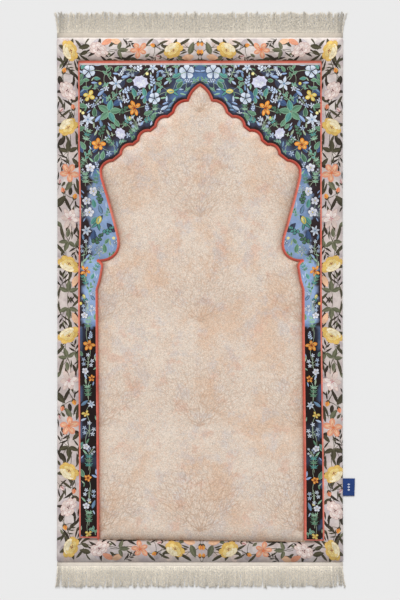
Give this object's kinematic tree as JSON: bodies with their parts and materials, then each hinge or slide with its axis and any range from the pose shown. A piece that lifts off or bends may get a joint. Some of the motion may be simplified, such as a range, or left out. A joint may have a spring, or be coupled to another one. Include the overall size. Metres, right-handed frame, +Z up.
{
  "type": "prayer rug",
  "caption": "Padded prayer rug laid flat: a quilted mat with a scalloped niche inside a straight frame, a fringe sewn on at each end and a folded woven tab at one side.",
  "frame": {"origin": "the centre of the mat's underside, on the floor", "axes": "+Z is up from the floor, +Y points to the head end, where the niche has its point, and +X points to the side with the tab"},
  "size_m": [0.6847, 1.3231, 0.015],
  "materials": {
    "printed_velour": "printed short-pile velour, quilted over thin padding",
    "linen_yarn": "unbleached linen-coloured yarn on a woven tape",
    "navy_damask": "navy woven label cloth, bare"
  },
  "bodies": {
    "root": {"mat": "printed_velour", "fringe_head": "linen_yarn", "fringe_foot": "linen_yarn", "side_tab": "navy_damask"}
  },
  "joints": []
}
